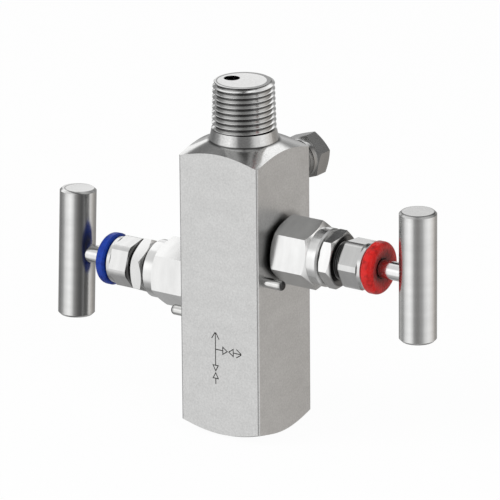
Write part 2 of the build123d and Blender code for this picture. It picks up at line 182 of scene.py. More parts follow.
# %% Trim the thread's free end with a chamfered envelope
end_chamfer = 0.85 * mm
envelope_radius = 10.62 * mm
envelope_depth = 6.0 * mm
envelope = start_piece("thread_envelope", bpy.ops.mesh.primitive_cylinder_add, vertices=128,
                       radius=envelope_radius, depth=envelope_depth,
                       location=(0, 0, thread_length - envelope_depth / 2))
bpy.ops.object.mode_set(mode="EDIT")
pick(envelope, "edges", lambda edge: all(v.co.z > thread_length - 1e-6 for v in edge.verts))
bpy.ops.mesh.bevel(offset=end_chamfer, offset_type="OFFSET", segments=1)
pick(envelope, "faces", lambda face: face.normal.z < -0.9)
bpy.ops.mesh.extrude_region_move(TRANSFORM_OT_translate={"value": (0, 0, -0.2 * mm)})
bpy.ops.transform.resize(value=(1.3, 1.3, 1), center_override=(0, 0, 0))
bpy.ops.mesh.extrude_region_move(TRANSFORM_OT_translate={"value": (0, 0, -14 * mm)})
bpy.ops.object.mode_set(mode="OBJECT")
apply_modifier(instrument_thread, "BOOLEAN", operation="INTERSECT", solver="EXACT",
               object=envelope)
bpy.data.objects.remove(envelope)
bpy.ops.object.select_all(action="DESELECT")
instrument_thread.select_set(True)
bpy.context.view_layer.objects.active = instrument_thread
bpy.ops.object.shade_smooth_by_angle(angle=radians(28))
bpy.ops.object.mode_set(mode="EDIT")
bpy.ops.mesh.select_all(action="SELECT")
bpy.ops.transform.translate(value=(0, 0, thread_start))
bpy.ops.object.mode_set(mode="OBJECT")
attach(instrument_thread, "manifold")
print("instrument thread: open edges", len(loose_edges(instrument_thread)))

# %% [markdown]
# ## Small threads
# The plug and both packing adjusters show a few turns of thread where they enter the steel.
# Each is the same winding with its own pitch, turned from the Z axis onto the piece's axis and
# moved into place. A turn in edit mode needs its centre given, because no window is open.

# %% Threads of the plug and of the packing adjusters
def lay_thread(piece, axis, place):
    """Turn a Z thread onto +X, -X or +Y and move its start to a place."""
    bpy.ops.object.select_all(action="DESELECT")
    piece.select_set(True)
    bpy.context.view_layer.objects.active = piece
    bpy.ops.object.shade_smooth_by_angle(angle=radians(28))
    bpy.ops.object.mode_set(mode="EDIT")
    bpy.ops.mesh.select_all(action="SELECT")
    turn, about = {"+X": (-90, "Y"), "-X": (90, "Y"), "+Y": (90, "X")}[axis]
    bpy.ops.transform.rotate(value=radians(turn), orient_axis=about,
                             center_override=(0, 0, 0))
    bpy.ops.transform.translate(value=place)
    bpy.ops.object.mode_set(mode="OBJECT")
    corners = [v.co for v in piece.data.vertices]
    low = [round(min(c[i] for c in corners) * 1000, 2) for i in range(3)]
    high = [round(max(c[i] for c in corners) * 1000, 2) for i in range(3)]
    print(piece.name, "lies from", low, "to", high)


plug_thread = wind_thread("vent_plug_thread_turns", 25.4 / 18 * mm, 5.2 * mm, 5.45 * mm,
                          6.8 * mm)
lay_thread(plug_thread, "+Y", (7.4 * mm, 15.8 * mm, 90.3 * mm))
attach(plug_thread, "manifold")

adjuster_gaps = {"vent": (1, 66.2, 39.9, 2.5), "isolate": (-1, 49.6, 41.7, 1.5)}
for valve, (side, height, near, length) in adjuster_gaps.items():
    sleeve = wind_thread(f"{valve}_adjuster_thread", 0.8 * mm, length * mm, 6.22 * mm,
                         6.75 * mm)
    lay_thread(sleeve, "+X" if side > 0 else "-X", (side * near * mm, 0, height * mm))
    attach(sleeve, "manifold")

# %% [markdown]
# ## Flow symbol
# The front of the block carries a small etched drawing of the flow: a main line through an
# isolating valve, and a branch through a vent valve. Only the plain signs of a piping diagram
# are drawn, without words. Lines are thin strips, and each triangle is a three-sided face whose
# inset middle is taken out, which leaves an outline of even width. An etched line has almost no
# height, so 0.02 mm keeps it clear of the face below it.

# %% Etched lines
line_width = 0.34 * mm
line_height = 0.02 * mm
face_y = -15.875 * mm
symbol_parts = []


def etched_strip(start, end):
    """A thin strip from one (x, z) to another, in millimetres, on the front face."""
    run = Vector((end[0] - start[0], 0, end[1] - start[1])) * mm
    middle = Vector((start[0] + end[0], 0, start[1] + end[1])) * mm / 2
    across = Vector((-run.z, 0, run.x)).normalized()
    strip = start_piece("strip", bpy.ops.mesh.primitive_plane_add, size=line_width,
                        location=(middle.x, face_y, middle.z), rotation=(pi / 2, 0, 0))
    bpy.ops.object.mode_set(mode="EDIT")
    mesh = bmesh.from_edit_mesh(strip.data)
    for vert in mesh.verts:
        offset = vert.co - Vector((middle.x, face_y, middle.z))
        side = 1 if offset.x > 0 else -1
        width = 1 if offset.z > 0 else -1
        vert.co = Vector((middle.x, face_y, middle.z)) + run / 2 * side
        vert.co += across * line_width / 2 * width
    bmesh.update_edit_mesh(strip.data)
    bpy.ops.object.mode_set(mode="OBJECT")
    symbol_parts.append(strip)


def etched_triangle(tip, base, half_width):
    """The outline of a triangle with its tip and the middle of its base at two (x, z)."""
    run = Vector((tip[0] - base[0], 0, tip[1] - base[1])) * mm
    across = Vector((-run.z, 0, run.x)).normalized() * half_width * mm
    triangle = start_piece("triangle", bpy.ops.mesh.primitive_circle_add, vertices=3,
                           radius=mm, fill_type="NGON", location=(0, face_y, 0),
                           rotation=(pi / 2, 0, 0))
    corners = (Vector((tip[0] * mm, face_y, tip[1] * mm)),
               Vector((base[0] * mm, face_y, base[1] * mm)) + across,
               Vector((base[0] * mm, face_y, base[1] * mm)) - across)
    bpy.ops.object.mode_set(mode="EDIT")
    mesh = bmesh.from_edit_mesh(triangle.data)
    for vert, corner in zip(mesh.verts, corners):
        vert.co = corner
    bmesh.update_edit_mesh(triangle.data)
    pick(triangle, "faces", lambda face: True)
    bpy.ops.mesh.inset(thickness=line_width, depth=0)
    bpy.ops.mesh.delete(type="FACE")
    bpy.ops.object.mode_set(mode="OBJECT")
    symbol_parts.append(triangle)


main_x, branch_z = -1.6, 31.5
etched_strip((main_x, 19.0), (main_x, 20.9))
etched_triangle((main_x, 23.4), (main_x, 20.9), 1.35)
etched_triangle((main_x, 23.4), (main_x, 25.9), 1.35)
etched_strip((main_x, 25.9), (main_x, 37.4))
etched_strip((-1.72, 37.5), (-3.1, 35.2))
etched_strip((-1.48, 37.5), (-0.1, 35.2))
etched_strip((-1.43, branch_z), (1.2, branch_z))
etched_triangle((3.5, branch_z), (1.2, branch_z), 1.6)
etched_triangle((3.5, branch_z), (5.8, branch_z), 1.6)
etched_strip((5.8, branch_z), (8.8, branch_z))
etched_strip((8.9, 31.62), (6.9, 33.0))
etched_strip((8.9, 31.38), (6.9, 30.0))
print("symbol parts:", len(symbol_parts))

# %% Join the symbol and give it its thickness
bpy.ops.object.select_all(action="DESELECT")
for part in symbol_parts:
    part.select_set(True)
flow_symbol = symbol_parts[0]
bpy.context.view_layer.objects.active = flow_symbol
bpy.ops.object.join()
flow_symbol.name = "flow_symbol"
flow_symbol.data.name = "flow_symbol"
bpy.ops.object.mode_set(mode="EDIT")
bpy.ops.mesh.select_all(action="SELECT")
mesh = bmesh.from_edit_mesh(flow_symbol.data)
for face in mesh.faces:
    if face.normal.y > 0:
        face.normal_flip()
bmesh.update_edit_mesh(flow_symbol.data)
bpy.ops.object.mode_set(mode="OBJECT")
apply_modifier(flow_symbol, "SOLIDIFY", thickness=line_height, offset=1.0)
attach(flow_symbol, "manifold")
print("flow symbol faces:", len(flow_symbol.data.polygons))

# %% [markdown]
# ## Shared effects
# Stainless steel looks plain only from far off. Close up it shows the marks of how it was made:
# a fine satin grain on the blasted flats, rings where a tool turned it, and faint patches where
# hands and cloths touched it. Each effect is one node group, built once and set differently in
# each material. A group gives out only masks and heights, and the shader stays outside it.
# Other groups paint shade in recesses and round each bonnet, and paint a highlight along with
# the wear on the bar's corners.

# %% Node helpers
def feed(tree, socket, value):
    """Link a socket to another node's output, or set it to a plain value."""
    if isinstance(value, bpy.types.NodeSocket):
        tree.links.new(value, socket)
    else:
        socket.default_value = value


def add_node(tree, kind, place, *feeds, **settings):
    """Add a node in its place. Feeds go to its first sockets in order, and settings to its
    properties and to its sockets by name."""
    node = tree.nodes.new(kind)
    node.location = place
    for key, value in settings.items():
        if hasattr(node, key):
            setattr(node, key, value)
        else:
            feed(tree, node.inputs[key.replace("_", " ")], value)
    for socket, value in zip(node.inputs, feeds):
        feed(tree, socket, value)
    return node


def calculate(tree, operation, place, *values):
    """The result of a Math node."""
    return add_node(tree, "ShaderNodeMath", place, *values, operation=operation).outputs[0]


def remap(tree, place, value, **limits):
    """A value moved from one range to another by a Map Range node."""
    return add_node(tree, "ShaderNodeMapRange", place, Value=value, **limits).outputs["Result"]


def mix(tree, place, kind, **settings):
    """The result of a Mix node, for colours (RGBA) or for numbers (FLOAT)."""
    return add_node(tree, "ShaderNodeMix", place, data_type=kind, **settings).outputs["Result"]


# %% Helpers for node groups and materials
def new_group(name, inputs, outputs):
    """An empty node group with named sockets, what it is given, and its output node."""
    tree = bpy.data.node_groups.new(name, "ShaderNodeTree")
    for label, kind, value in inputs:
        socket = tree.interface.new_socket(label, in_out="INPUT", socket_type=kind)
        if value is not None:
            socket.default_value = value
    for label in outputs:
        tree.interface.new_socket(label, in_out="OUTPUT", socket_type="NodeSocketFloat")
    entry = tree.nodes.new("NodeGroupInput")
    leave = tree.nodes.new("NodeGroupOutput")
    entry.location, leave.location = (-900, 0), (900, 0)
    return tree, entry.outputs, leave


def put_out(tree, leave, **results):
    """Link the results of a group to its output node."""
    for label, value in results.items():
        tree.links.new(value, leave.inputs[label])
    print("group:", tree.name)


def new_material(name):
    """A material with nodes, and its node tree."""
    material = bpy.data.materials.new(name)
    material.use_nodes = True
    return material, material.node_tree


# %% Group: satin grain with soft patches
grain_group, given, leave = new_group(
    "satin_grain",
    [("Vector", "NodeSocketVector", None), ("Grain Scale", "NodeSocketFloat", 2600.0),
     ("Patch Scale", "NodeSocketFloat", 60.0), ("Speckle Depth", "NodeSocketFloat", 0.05)],
    ["Height", "Patches", "Speckle"])
fine = add_node(grain_group, "ShaderNodeTexNoise", (-500, 150), Detail=3.0, Roughness=0.6,
                Vector=given["Vector"], Scale=given["Grain Scale"])
coarse = add_node(grain_group, "ShaderNodeTexNoise", (-500, -150), Detail=4.0,
                  Roughness=0.65, Vector=given["Vector"], Scale=given["Patch Scale"])
centred = calculate(grain_group, "SUBTRACT", (-250, 300), fine.outputs["Fac"], 0.5)
speckled = calculate(grain_group, "MULTIPLY_ADD", (0, 300), centred, given["Speckle Depth"],
                     1.0)
put_out(grain_group, leave, Height=fine.outputs["Fac"], Patches=coarse.outputs["Fac"],
        Speckle=speckled)

# %% Group: rings left by a turning tool
# The piece's axis is X here. A noise over the distance along the axis and the distance from it
# is nearly the same all the way round, which is what a tool mark is.
rings_group, given, leave = new_group(
    "turning_rings",
    [("Vector", "NodeSocketVector", None), ("Rings per Metre", "NodeSocketFloat", 5000.0),
     ("Waver", "NodeSocketFloat", 0.02)],
    ["Height", "Tone", "Along", "Radius"])
split = add_node(rings_group, "ShaderNodeSeparateXYZ", (-700, 0), given["Vector"]).outputs
flat = add_node(rings_group, "ShaderNodeCombineXYZ", (-500, -200), Y=split["Y"],
                Z=split["Z"])
radius = add_node(rings_group, "ShaderNodeVectorMath", (-300, -200), flat.outputs[0],
                  operation="LENGTH").outputs["Value"]
along = calculate(rings_group, "MULTIPLY", (-300, 150), split["X"], given["Rings per Metre"])
away = calculate(rings_group, "MULTIPLY", (-100, -150), radius, given["Rings per Metre"])
round_it = calculate(rings_group, "MULTIPLY", (-100, -350), split["Y"], given["Waver"])
ring_place = add_node(rings_group, "ShaderNodeCombineXYZ", (150, 0), along, away,
                      round_it).outputs[0]
ring_noise = add_node(rings_group, "ShaderNodeTexNoise", (350, 0), Scale=1.0, Detail=2.0,
                      Roughness=0.7, Vector=ring_place)
tone_place = add_node(rings_group, "ShaderNodeVectorMath", (350, -250), ring_place,
                      (0.12, 0.12, 0.12), operation="MULTIPLY")
tone_noise = add_node(rings_group, "ShaderNodeTexNoise", (550, -250), Scale=1.0, Detail=3.0,
                      Vector=tone_place.outputs[0])
put_out(rings_group, leave, Height=ring_noise.outputs["Fac"],
        Tone=tone_noise.outputs["Fac"], Along=split["X"], Radius=radius)

# %% Group: painted shade in the recesses
# Painted shade, where real shade falls: near the axis, in a crevice across the axis, and in a
# ring on an end face. Each is a distance that rises from dark to clear, and the three are
# multiplied.
recess_group, given, leave = new_group(
    "recess_shade",
    [("Along", "NodeSocketFloat", 0.0), ("Radius", "NodeSocketFloat", 0.0),
     ("Dark Within", "NodeSocketFloat", 0.0), ("Clear Beyond", "NodeSocketFloat", 0.0001),
     ("Narrowing", "NodeSocketFloat", 0.0), ("Crevice At", "NodeSocketFloat", 9.0),
     ("Crevice Width", "NodeSocketFloat", 0.0005), ("Ring At", "NodeSocketFloat", 9.0),
     ("Ring Width", "NodeSocketFloat", 0.0005), ("Darkest", "NodeSocketFloat", 0.2)],
    ["Shade"])
widened = calculate(recess_group, "MULTIPLY_ADD", (-600, 300), given["Along"],
                    given["Narrowing"], given["Radius"])
shade = remap(recess_group, (-350, 300), widened, From_Min=given["Dark Within"],
              From_Max=given["Clear Beyond"], To_Min=given["Darkest"])
for number, (measure, spot, width) in enumerate((("Along", "Crevice At", "Crevice Width"),
                                                 ("Radius", "Ring At", "Ring Width"))):
    row = -100 - 300 * number
    apart = calculate(recess_group, "SUBTRACT", (-600, row), given[measure], given[spot])
    distance = calculate(recess_group, "ABSOLUTE", (-450, row), apart)
    clearing = remap(recess_group, (-250, row), distance, interpolation_type="SMOOTHSTEP",
                     From_Max=given[width], To_Min=given["Darkest"])
    shade = calculate(recess_group, "MULTIPLY", (100 + 200 * number, row), clearing, shade)
put_out(recess_group, leave, Shade=shade)


def recess_node(tree, place, turned, recess):
    """Painted recess shade round a turned piece's axis, with the group's sockets set by name."""
    return add_node(tree, "ShaderNodeGroup", place, node_tree=recess_group,
                    Along=turned["Along"], Radius=turned["Radius"],
                    **{key.title(): value for key, value in recess.items()}).outputs["Shade"]


# %% Group: wear and painted highlight along the long corners of the bar
# Handling polishes a corner and dents it, and a corner also catches a thin highlight: the light,
# less metallic line here is partly wear and partly a painted highlight. The mask is broken up
# with noise. A point is on a corner where its distances from the axis in X and in Y are both
# near the half width.
corner_wear_and_highlight_group, given, leave = new_group(
    "corner_wear_and_highlight",
    [("Vector", "NodeSocketVector", None), ("Half Width", "NodeSocketFloat", 0.015875),
     ("Wear Width", "NodeSocketFloat", 0.0004)],
    ["Wear"])
sides = add_node(corner_wear_and_highlight_group, "ShaderNodeVectorMath", (-700, 0), given["Vector"],
                 operation="ABSOLUTE")
split = add_node(corner_wear_and_highlight_group, "ShaderNodeSeparateXYZ", (-500, 0), sides.outputs[0]).outputs
nearer = calculate(corner_wear_and_highlight_group, "MINIMUM", (-300, 0), split["X"], split["Y"])
inner = calculate(corner_wear_and_highlight_group, "SUBTRACT", (-300, -200), given["Half Width"],
                  given["Wear Width"])
worn_and_lit = remap(corner_wear_and_highlight_group, (0, 0), nearer, interpolation_type="SMOOTHSTEP", From_Min=inner,
             From_Max=given["Half Width"])
nicks = add_node(corner_wear_and_highlight_group, "ShaderNodeTexNoise", (-300, -400), Scale=900.0, Detail=2.0,
                 Vector=given["Vector"])
broken = remap(corner_wear_and_highlight_group, (0, -400), nicks.outputs["Fac"], From_Min=0.38, From_Max=0.5,
               To_Min=0.35)
put_out(corner_wear_and_highlight_group, leave,
        Wear=calculate(corner_wear_and_highlight_group, "MULTIPLY", (300, 0), worn_and_lit, broken))

# %% Group: painted shade where a valve enters the bar
# Painted shade: the bar is a little darker round each bonnet, where the bonnet shades it. The
# distance is taken from the valve's axis, and points on the other side of the bar are pushed
# away, so that each side has its own shade.
seat_group, given, leave = new_group(
    "seat_shade",
    [("Vector", "NodeSocketVector", None), ("Side", "NodeSocketFloat", 1.0),
     ("Height", "NodeSocketFloat", 0.05), ("Dark Within", "NodeSocketFloat", 0.0104),
     ("Clear Beyond", "NodeSocketFloat", 0.0145), ("Darkest", "NodeSocketFloat", 0.4)],
    ["Shade"])
split = add_node(seat_group, "ShaderNodeSeparateXYZ", (-700, 0), given["Vector"]).outputs
sided = calculate(seat_group, "MULTIPLY", (-500, 200), split["X"], given["Side"])
behind = calculate(seat_group, "MINIMUM", (-350, 200), sided, 0.0)
above = calculate(seat_group, "SUBTRACT", (-500, -200), split["Z"], given["Height"])
gathered = add_node(seat_group, "ShaderNodeCombineXYZ", (-150, 0), behind, split["Y"], above)
distance = add_node(seat_group, "ShaderNodeVectorMath", (50, 0), gathered.outputs[0],
                    operation="LENGTH")
put_out(seat_group, leave,
        Shade=remap(seat_group, (300, 0), distance.outputs["Value"],
                    interpolation_type="SMOOTHSTEP", From_Min=given["Dark Within"],
                    From_Max=given["Clear Beyond"], To_Min=given["Darkest"]))

# %% [markdown]
# ## Steel finishes
# All the steel pieces share one recipe with different numbers: a metallic Principled shader, a
# base colour that drifts a little with the patches and carries painted shade in recesses, a
# roughness that drifts with them too, and a shallow bump from grain and rings. The Mapping node
# brings each piece's own axis onto X, so that the rings run round it.

# %% Steel recipe
mark_height = 0.00004


def steel_finish(name, tone, roughness, axis, axis_place, turned_within=0.0,
                 turned_roughness=0.2, rings=5000.0, ring_depth=0.25, grain_depth=0.15,
                 grain=2600.0, drift=0.06, rough_drift=0.10, speckle=0.05, worn_and_highlit_corners=False,
                 seats=(), lean=0.0, **recess):
    """A metal with grain and handling patches, and rings where the piece was turned.

    It is turned within a radius of the axis, and wherever the surface faces along it. The
    recess shade group paints shade into the base colour, and its sockets are set by name. Seats
    paint shade on the bar round each bonnet, and worn and highlit corners paint a light line
    that is partly wear and partly a painted highlight.
    """
    material, tree = new_material(name)
    shader = tree.nodes["Principled BSDF"].inputs
    shader["Metallic"].default_value = 1.0
    place = add_node(tree, "ShaderNodeTexCoord", (-1700, 0)).outputs
    onto_x = {"X": (0, 0, 0), "Y": (0, 0, radians(90)),
              "Z": (0, radians(lean - 90), radians(90))}[axis]
    centred = add_node(tree, "ShaderNodeMapping", (-1500, 0), vector_type="TEXTURE",
                       Vector=place["Object"], Location=axis_place,
                       Rotation=onto_x).outputs["Vector"]
    turned = add_node(tree, "ShaderNodeGroup", (-1250, 200), node_tree=rings_group,
                      Vector=centred, Rings_per_Metre=rings).outputs
    satin = add_node(tree, "ShaderNodeGroup", (-1250, -200), node_tree=grain_group,
                     Vector=centred, Grain_Scale=grain, Speckle_Depth=speckle).outputs

    facing = add_node(tree, "ShaderNodeSeparateXYZ", (-1250, 500), place["Normal"])
    end_on = calculate(tree, "ABSOLUTE", (-1050, 500), facing.outputs[axis])
    on_end = calculate(tree, "GREATER_THAN", (-850, 500), end_on, 0.3)
    near_axis = calculate(tree, "LESS_THAN", (-850, 700), turned["Radius"], turned_within)
    lathe = calculate(tree, "MAXIMUM", (-650, 600), on_end, near_axis)

    both = calculate(tree, "ADD", (-850, 300), satin["Patches"], turned["Tone"])
    drifted = mix(tree, (-400, 300), "RGBA",
                  Factor=remap(tree, (-650, 300), both, From_Min=0.7, From_Max=1.3),
                  A=(*[part * (1 - drift) for part in tone], 1),
                  B=(*[part * (1 + drift) for part in tone], 1))
    # Painted shade from the recess group, times the random speckle of the grain.
    speckle_and_painted_shade = calculate(tree, "MULTIPLY", (-600, 1000),
                       recess_node(tree, (-850, 1000), turned, recess), satin["Speckle"])
    base = mix(tree, (-200, 400), "RGBA", blend_type="MULTIPLY", Factor=1.0, A=drifted,
               B=speckle_and_painted_shade)
    # Painted shade on the bar round each bonnet.
    for number, (side, height) in enumerate(seats):
        seat = add_node(tree, "ShaderNodeGroup", (-850, 1300 + 200 * number),
                        node_tree=seat_group, Vector=place["Object"], Side=side,
                        Height=height)
        base = mix(tree, (-100 + 100 * number, 650), "RGBA", blend_type="MULTIPLY",
                   Factor=1.0, A=base, B=seat.outputs["Shade"])

    rougher = remap(tree, (-650, 0), satin["Patches"], From_Min=0.3, From_Max=0.7,
                    To_Min=roughness * (1 - rough_drift), To_Max=roughness * (1 + rough_drift))
    rough = mix(tree, (-400, 0), "FLOAT", Factor=lathe, A=rougher, B=turned_roughness)
    if worn_and_highlit_corners:
        wear_and_highlight = add_node(tree, "ShaderNodeGroup", (-400, 700), node_tree=corner_wear_and_highlight_group,
                        Vector=place["Object"]).outputs["Wear"]
        # Worn and highlit corners: a near-white, less metallic, rougher line, partly wear and
        # partly a painted highlight.
        base = mix(tree, (0, 500), "RGBA", Factor=wear_and_highlight, A=base, B=(0.95, 0.95, 0.94, 1))
        rough = mix(tree, (-150, 0), "FLOAT", Factor=wear_and_highlight, A=rough, B=0.62)
        feed(tree, shader["Metallic"], remap(tree, (0, 700), wear_and_highlight, To_Min=1.0, To_Max=0.2))

    ring_height = calculate(tree, "MULTIPLY", (-650, -250), turned["Height"], lathe)
    ring_bump = add_node(tree, "ShaderNodeBump", (-400, -250), Strength=ring_depth,
                         Distance=mark_height, Height=ring_height)
    grain_bump = add_node(tree, "ShaderNodeBump", (-200, -250), Strength=grain_depth,
                          Distance=mark_height, Height=satin["Height"],
                          Normal=ring_bump.outputs["Normal"])
    feed(tree, shader["Base Color"], base)
    feed(tree, shader["Roughness"], rough)
    feed(tree, shader["Normal"], grain_bump.outputs["Normal"])
    return material


# %% The steel of every piece
isolate_axis = (0, 0, 49.6 * mm)
vent_axis = (0, 0, 66.2 * mm)
plug_axis = (7.4 * mm, 0, 90.3 * mm)

neck_foot = 102.1 * mm
block_steel = steel_finish("block_satin_steel", (0.55, 0.55, 0.545), 0.36, "Z", (0, 0, 0),
                           turned_within=12.5 * mm, turned_roughness=0.11, rings=2200.0,
                           ring_depth=0.07, grain_depth=0.12, drift=0.045, speckle=0.5,
                           grain=1500.0, worn_and_highlit_corners=True,
                           seats=((-1, isolate_axis[2]), (1, vent_axis[2])),
                           # A thin painted shade line round the foot of the threaded neck.
                           crevice_at=neck_foot,
                           crevice_width=0.45 * mm, darkest=0.15)
# The thread's roots and its foot are painted dark: painted shade in the grooves and where the
# thread meets the neck.
thread_steel = steel_finish("thread_cut_steel", (0.66, 0.66, 0.655), 0.2, "Z",
                            (0, 0, thread_start), turned_within=20 * mm,
                            turned_roughness=0.16, rings=9000.0, ring_depth=0.12,
                            grain_depth=0.10, dark_within=9.65 * mm,
                            clear_beyond=10.15 * mm, narrowing=1 / 32, crevice_at=0.0,
                            crevice_width=0.5 * mm, darkest=0.2)
plug_steel = steel_finish("plug_bar_steel", (0.41, 0.41, 0.405), 0.22, "Y", plug_axis,
                          turned_within=7.05 * mm, rings=3500.0, ring_depth=0.15)
valve_sides = {"isolate": (-1, isolate_axis), "vent": (1, vent_axis)}
handle_leans = {"isolate": 3.0, "vent": 0.0}
collar_starts = {"isolate": 43.075 * mm, "vent": 42.275 * mm}
steels = {}
for valve, (side, place) in valve_sides.items():
    nut_end = side * max(abs(corner.x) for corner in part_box(f"{valve}_jam_nut"))
    print(valve, "nut ends at", round(nut_end / mm, 2))
    steels[valve] = {
        # The bonnet is painted near-black within 7.5 mm of its axis: painted shade in the
        # undercut between the hex and the bar.
        "bonnet": steel_finish(f"{valve}_bonnet_steel", (0.69, 0.69, 0.685), 0.18, "X",
                               place, turned_within=10.15 * mm, rings=3500.0,
                               ring_depth=0.15, grain_depth=0.08, dark_within=7.5 * mm,
                               clear_beyond=8.2 * mm, darkest=0.06),
        # Painted shade over the nut's outer end, next to the adjuster.
        "nut": steel_finish(f"{valve}_nut_steel", (0.66, 0.66, 0.655), 0.18, "X", place,
                            rings=3500.0, ring_depth=0.15, grain_depth=0.08,
                            crevice_at=nut_end, crevice_width=0.5 * mm, darkest=0.2),
        # Painted shade, nearly black, at the foot of the adjuster's collar, beside the thread in
        # the gap.
        "adjuster": steel_finish(f"{valve}_adjuster_steel", (0.58, 0.58, 0.575), 0.18, "X",
                                 place, turned_within=7.9 * mm, rings=4500.0,
                                 ring_depth=0.2, grain_depth=0.08,
                                 crevice_at=side * collar_starts[valve],
                                 crevice_width=1.3 * mm, darkest=0.08),
        "stem": steel_finish(f"{valve}_stem_steel", (0.68, 0.68, 0.68), 0.14, "X", place,
                             turned_within=10 * mm, turned_roughness=0.14, rings=7000.0,
                             ring_depth=0.1, grain_depth=0.05),
        # The bare thread between the jam nut and the adjuster's collar is dark grey, and darker
        # still at its root: painted shade in the gap.
        "gap": steel_finish(f"{valve}_gap_thread_painted_shade_steel", (0.30, 0.30, 0.30), 0.3, "X",
                            place, turned_within=20 * mm, turned_roughness=0.3,
                            dark_within=6.2 * mm, clear_beyond=6.8 * mm, darkest=0.1),
    }
    low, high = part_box(f"{valve}_handle")
    handle_radius = (high.y - low.y) / 2
    handle_axis = (side * (max(-low.x, high.x) - handle_radius), 0, place[2])
    # A dark ring near the rim of each end face of the handle: painted shade at the rounded rim.
    steels[valve]["handle"] = steel_finish(
        f"{valve}_handle_steel", (0.62, 0.62, 0.615), 0.24, "Z", handle_axis,
        turned_within=20 * mm, turned_roughness=0.24, rings=3000.0, ring_depth=0.2,
        grain_depth=0.08, lean=handle_leans[valve], ring_at=5.55 * mm,
        ring_width=0.4 * mm, darkest=0.25)
    # Painted shade, nearly black, over the outer end of the lock pin.
    low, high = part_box(f"{valve}_lock_pin")
    steels[valve]["pin"] = steel_finish(
        f"{valve}_pin_steel", (0.62, 0.62, 0.61), 0.16, "X",
        (0, (low.y + high.y) / 2, (low.z + high.z) / 2), turned_within=5 * mm,
        turned_roughness=0.16, grain_depth=0.05,
        crevice_at=side * max(-low.x, high.x), crevice_width=2.0 * mm, darkest=0.06)
soft_steel = steel_finish("seal_annealed_steel", (0.52, 0.52, 0.53), 0.4, "X", (0, 0, 0))
print("steels:", len(bpy.data.materials))

# %% [markdown]
# ## Dust caps, packing and blackened parts
# The caps are moulded plastic rings, coloured to tell the valves apart. A thin clear coat gives
# the wet gloss, and a slow noise bump makes the highlight waver as on moulded rings. Packing is
# a waxy white polymer, and the set screws and etched lines are blackened steel.

# %% Moulded and blackened finishes
def moulded_finish(name, colour, deep_colour, roughness, coat, waver, axis_place, **recess):
    """A plastic with slow ripples, a tone that drifts, painted shade in its dish and a clear
    gloss.
    """
    material, tree = new_material(name)
    shader = tree.nodes["Principled BSDF"].inputs
    place = add_node(tree, "ShaderNodeTexCoord", (-1300, 0)).outputs
    centred = add_node(tree, "ShaderNodeMapping", (-1100, 0), vector_type="TEXTURE",
                       Vector=place["Object"], Location=axis_place).outputs["Vector"]
    satin = add_node(tree, "ShaderNodeGroup", (-850, 0), node_tree=grain_group,
                     Vector=centred, Grain_Scale=520.0, Patch_Scale=300.0).outputs
    turned = add_node(tree, "ShaderNodeGroup", (-850, 600), node_tree=rings_group,
                      Vector=centred).outputs
    drifting = remap(tree, (-650, 200), satin["Patches"], From_Min=0.34, From_Max=0.52)
    tint = mix(tree, (-450, 200), "RGBA", Factor=drifting, A=(*deep_colour, 1),
               B=(*colour, 1))
    shaded = mix(tree, (-250, 300), "RGBA", blend_type="MULTIPLY", Factor=1.0, A=tint,
                 B=recess_node(tree, (-650, 500), turned, recess))
    rougher = remap(tree, (-450, -50), satin["Patches"], To_Min=roughness * 0.8,
                    To_Max=roughness * 1.2)
    ripple = add_node(tree, "ShaderNodeBump", (-450, -300), Strength=waver, Distance=0.0006,
                      Height=satin["Height"])
    for socket, value in (("Coat Weight", coat), ("Coat Roughness", 0.12),
                          ("Specular IOR Level", 0.25), ("Base Color", shaded),
                          ("Roughness", rougher), ("Normal", ripple.outputs["Normal"])):
        feed(tree, shader[socket], value)
    return material


# Painted shade on each cap's dished face, darkest next to the stem.
cap_dish_painted_shade = {"dark_within": 3.6 * mm, "clear_beyond": 7.4 * mm, "darkest": 0.22}
blue_cap = moulded_finish("blue_cap_gloss", (0.005, 0.040, 0.33), (0.001, 0.012, 0.16), 0.42,
                          0.03, 0.6, isolate_axis, **cap_dish_painted_shade)
red_cap = moulded_finish("red_cap_gloss", (0.66, 0.012, 0.010), (0.30, 0.003, 0.003), 0.34,
                         0.15, 0.9, vent_axis, **cap_dish_painted_shade)
packing_white = moulded_finish("packing_white_polymer", (0.82, 0.82, 0.80),
                               (0.74, 0.74, 0.71), 0.5, 0.0, 0.1, (0, 0, 0))
black_oxide = moulded_finish("black_oxide_steel", (0.035, 0.034, 0.032),
                             (0.02, 0.02, 0.02), 0.42, 0.0, 0.1, (0, 0, 0))

# %% Give every node and piece its finish
def dress(piece, material):
    piece.data.materials.clear()
    piece.data.materials.append(material)


dress(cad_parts["manifold_block"], block_steel)
dress(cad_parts["vent_plug"], plug_steel)
dress(instrument_thread, thread_steel)
dress(plug_thread, plug_steel)
dress(flow_symbol, black_oxide)
for valve in ("isolate", "vent"):
    finishes = {"bonnet": steels[valve]["bonnet"], "jam_nut": steels[valve]["nut"],
                "packing_adjuster": steels[valve]["adjuster"],
                "packing_follower": steels[valve]["stem"],
                "stem": steels[valve]["stem"], "ball_tip": steels[valve]["stem"],
                "handle": steels[valve]["handle"], "handle_screw": black_oxide,
                "lock_pin": steels[valve]["pin"], "bonnet_seal": soft_steel,
                "packing_rings": packing_white,
                "dust_cap": blue_cap if valve == "isolate" else red_cap}
    for piece, material in finishes.items():
        dress(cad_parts[f"{valve}_{piece}"], material)
    dress(bpy.data.objects[f"{valve}_adjuster_thread"], steels[valve]["gap"])
print("dressed:", len(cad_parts), "nodes")

# %% [markdown]
# ## Camera
# A long lens from two metres keeps the bar's edges nearly parallel, as a catalogue picture of
# a small part is taken. The camera is placed by its three directions, right, up and back.

